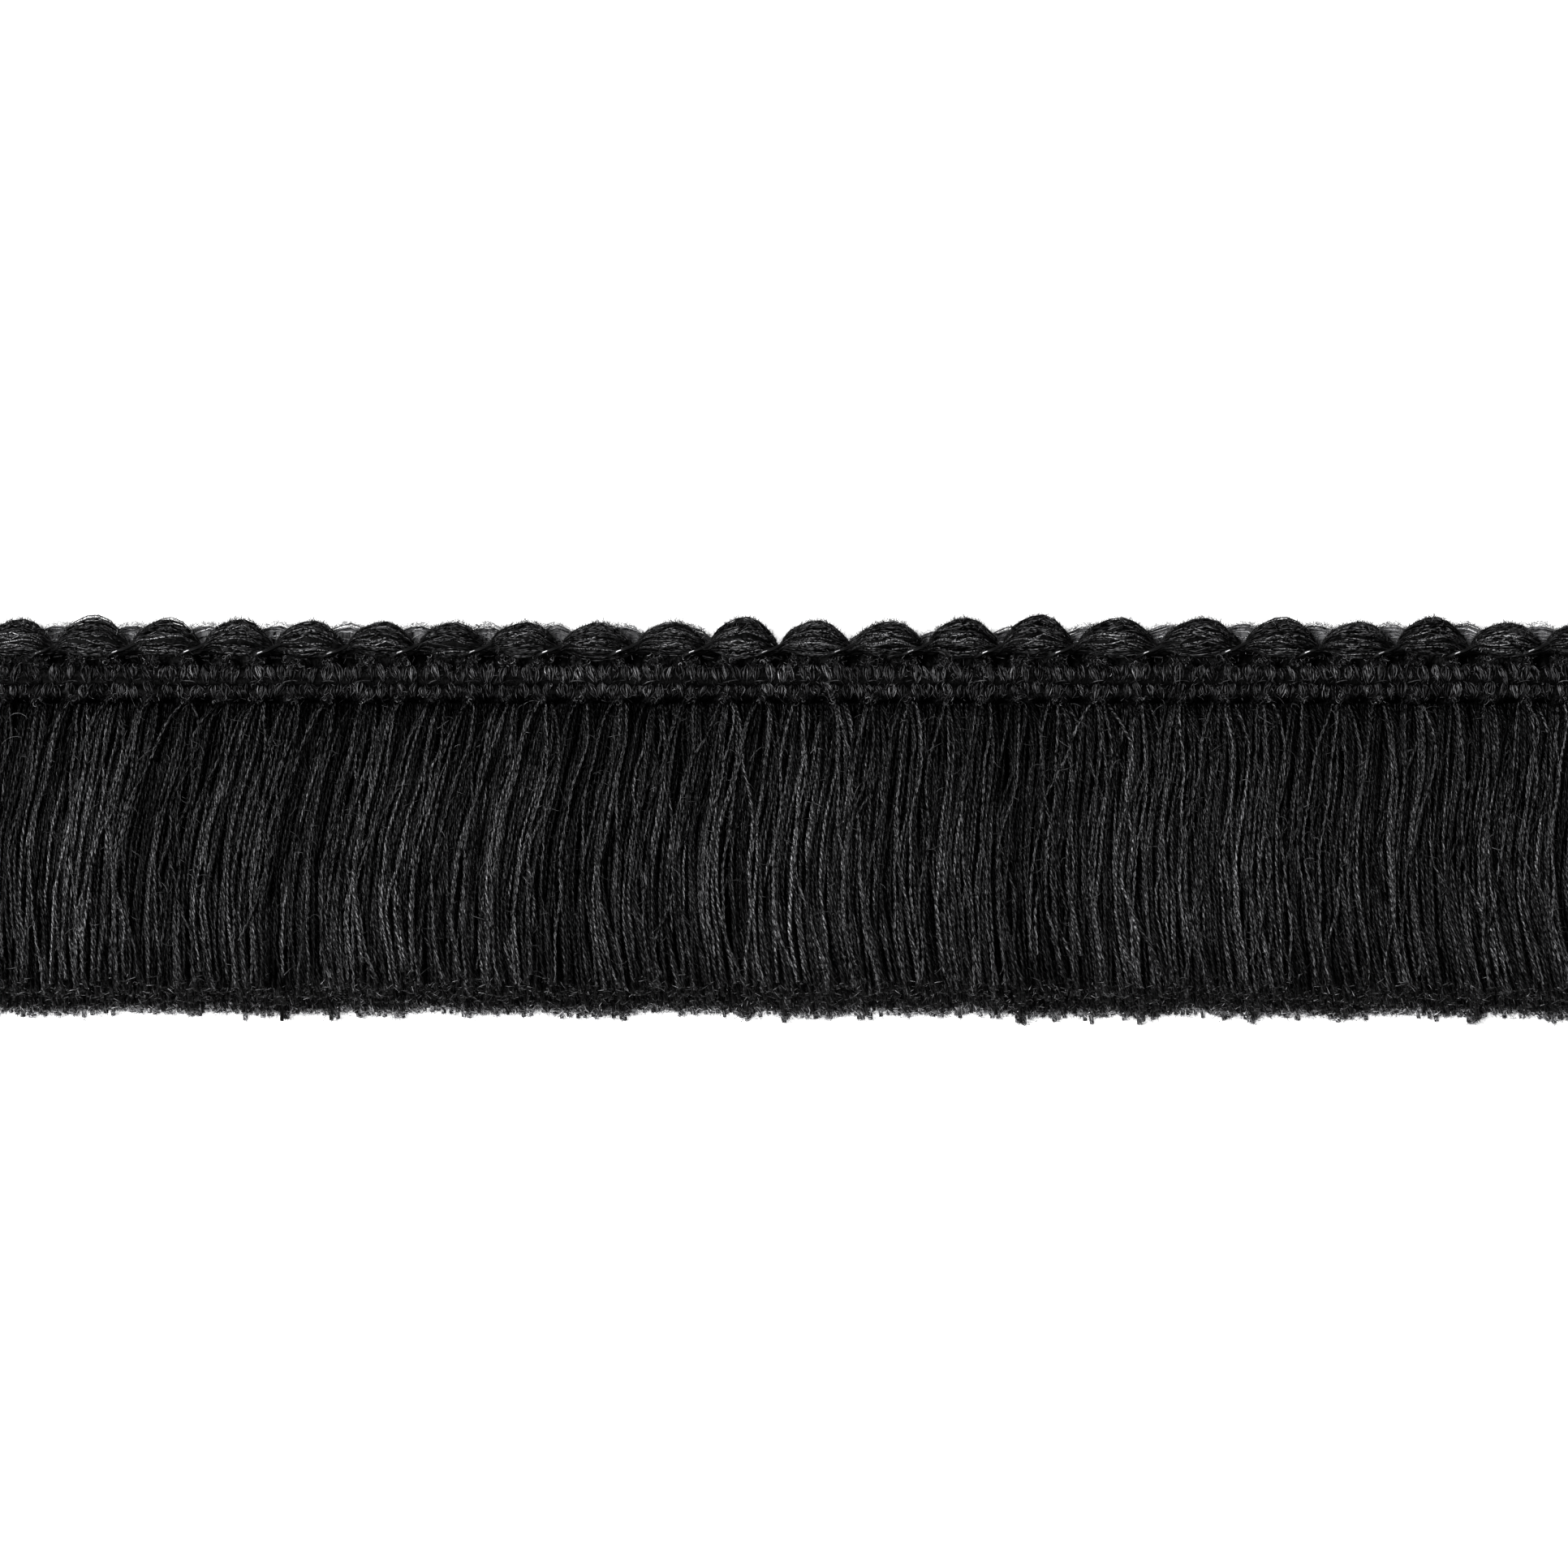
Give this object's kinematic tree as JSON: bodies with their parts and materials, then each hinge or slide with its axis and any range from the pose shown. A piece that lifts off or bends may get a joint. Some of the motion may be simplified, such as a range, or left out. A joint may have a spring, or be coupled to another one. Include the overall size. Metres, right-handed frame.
{
  "type": "brush fringe trim",
  "caption": "Cut length of black brush fringe lying on its back: a dense skirt of straight cut yarns under a knitted heading with a scalloped edge of soft puffed roving.",
  "frame": {"origin": "on the back of the knitted heading, at the middle of the cut length and under the groove between the two stitch ribs", "axes": "+X along the trim, +Y from the cut skirt towards the scalloped edge, +Z out of the face, away from the surface it lies on"},
  "size_m": [0.1778, 0.0411, 0.0081],
  "materials": {
    "roving": "soft black roving",
    "knit_yarn": "black knitted yarn",
    "skirt_yarn": "black two-ply spun yarn"
  },
  "bodies": {
    "root": {"scallop_cord_front": "roving", "scallop_cord_back": "roving", "heading_band": "knit_yarn", "fringe_skirt": "skirt_yarn"}
  },
  "joints": []
}
